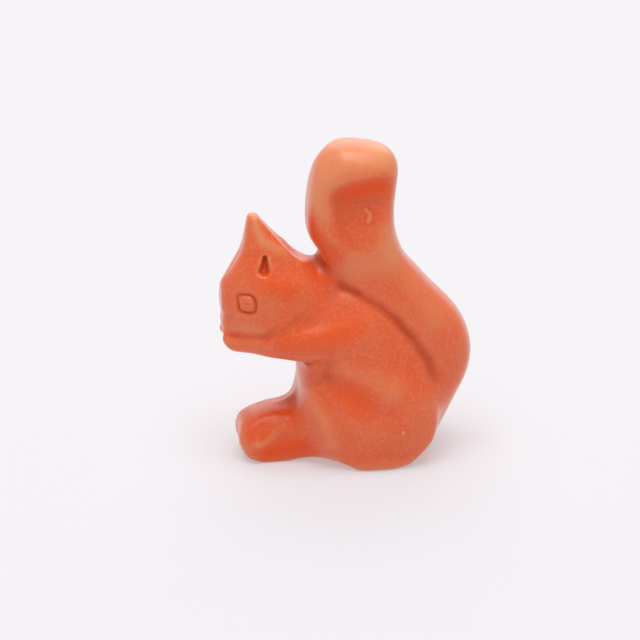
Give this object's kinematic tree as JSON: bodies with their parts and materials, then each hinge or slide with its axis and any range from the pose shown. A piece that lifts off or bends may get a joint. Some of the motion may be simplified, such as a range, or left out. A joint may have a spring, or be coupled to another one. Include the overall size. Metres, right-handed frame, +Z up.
{
  "type": "toy squirrel figure",
  "caption": "Small moulded squirrel figure sitting up with its paws at its mouth and a thick S-curved tail standing behind its back, in one glossy orange plastic.",
  "frame": {"origin": "on the ground under the middle of the figure's box", "axes": "+Z up, -Y the way the squirrel faces, +X its left side"},
  "size_m": [0.0148, 0.0267, 0.035],
  "materials": {
    "orange_plastic": "soft gloss, slightly translucent, the same orange all over with no paint"
  },
  "bodies": {
    "root": {"torso": "orange_plastic", "head": "orange_plastic", "tail": "orange_plastic", "left_ear": "orange_plastic", "right_ear": "orange_plastic", "left_eye": "orange_plastic", "right_eye": "orange_plastic", "left_foreleg": "orange_plastic", "right_foreleg": "orange_plastic", "left_haunch": "orange_plastic", "right_haunch": "orange_plastic", "left_foot": "orange_plastic", "right_foot": "orange_plastic"}
  },
  "joints": []
}
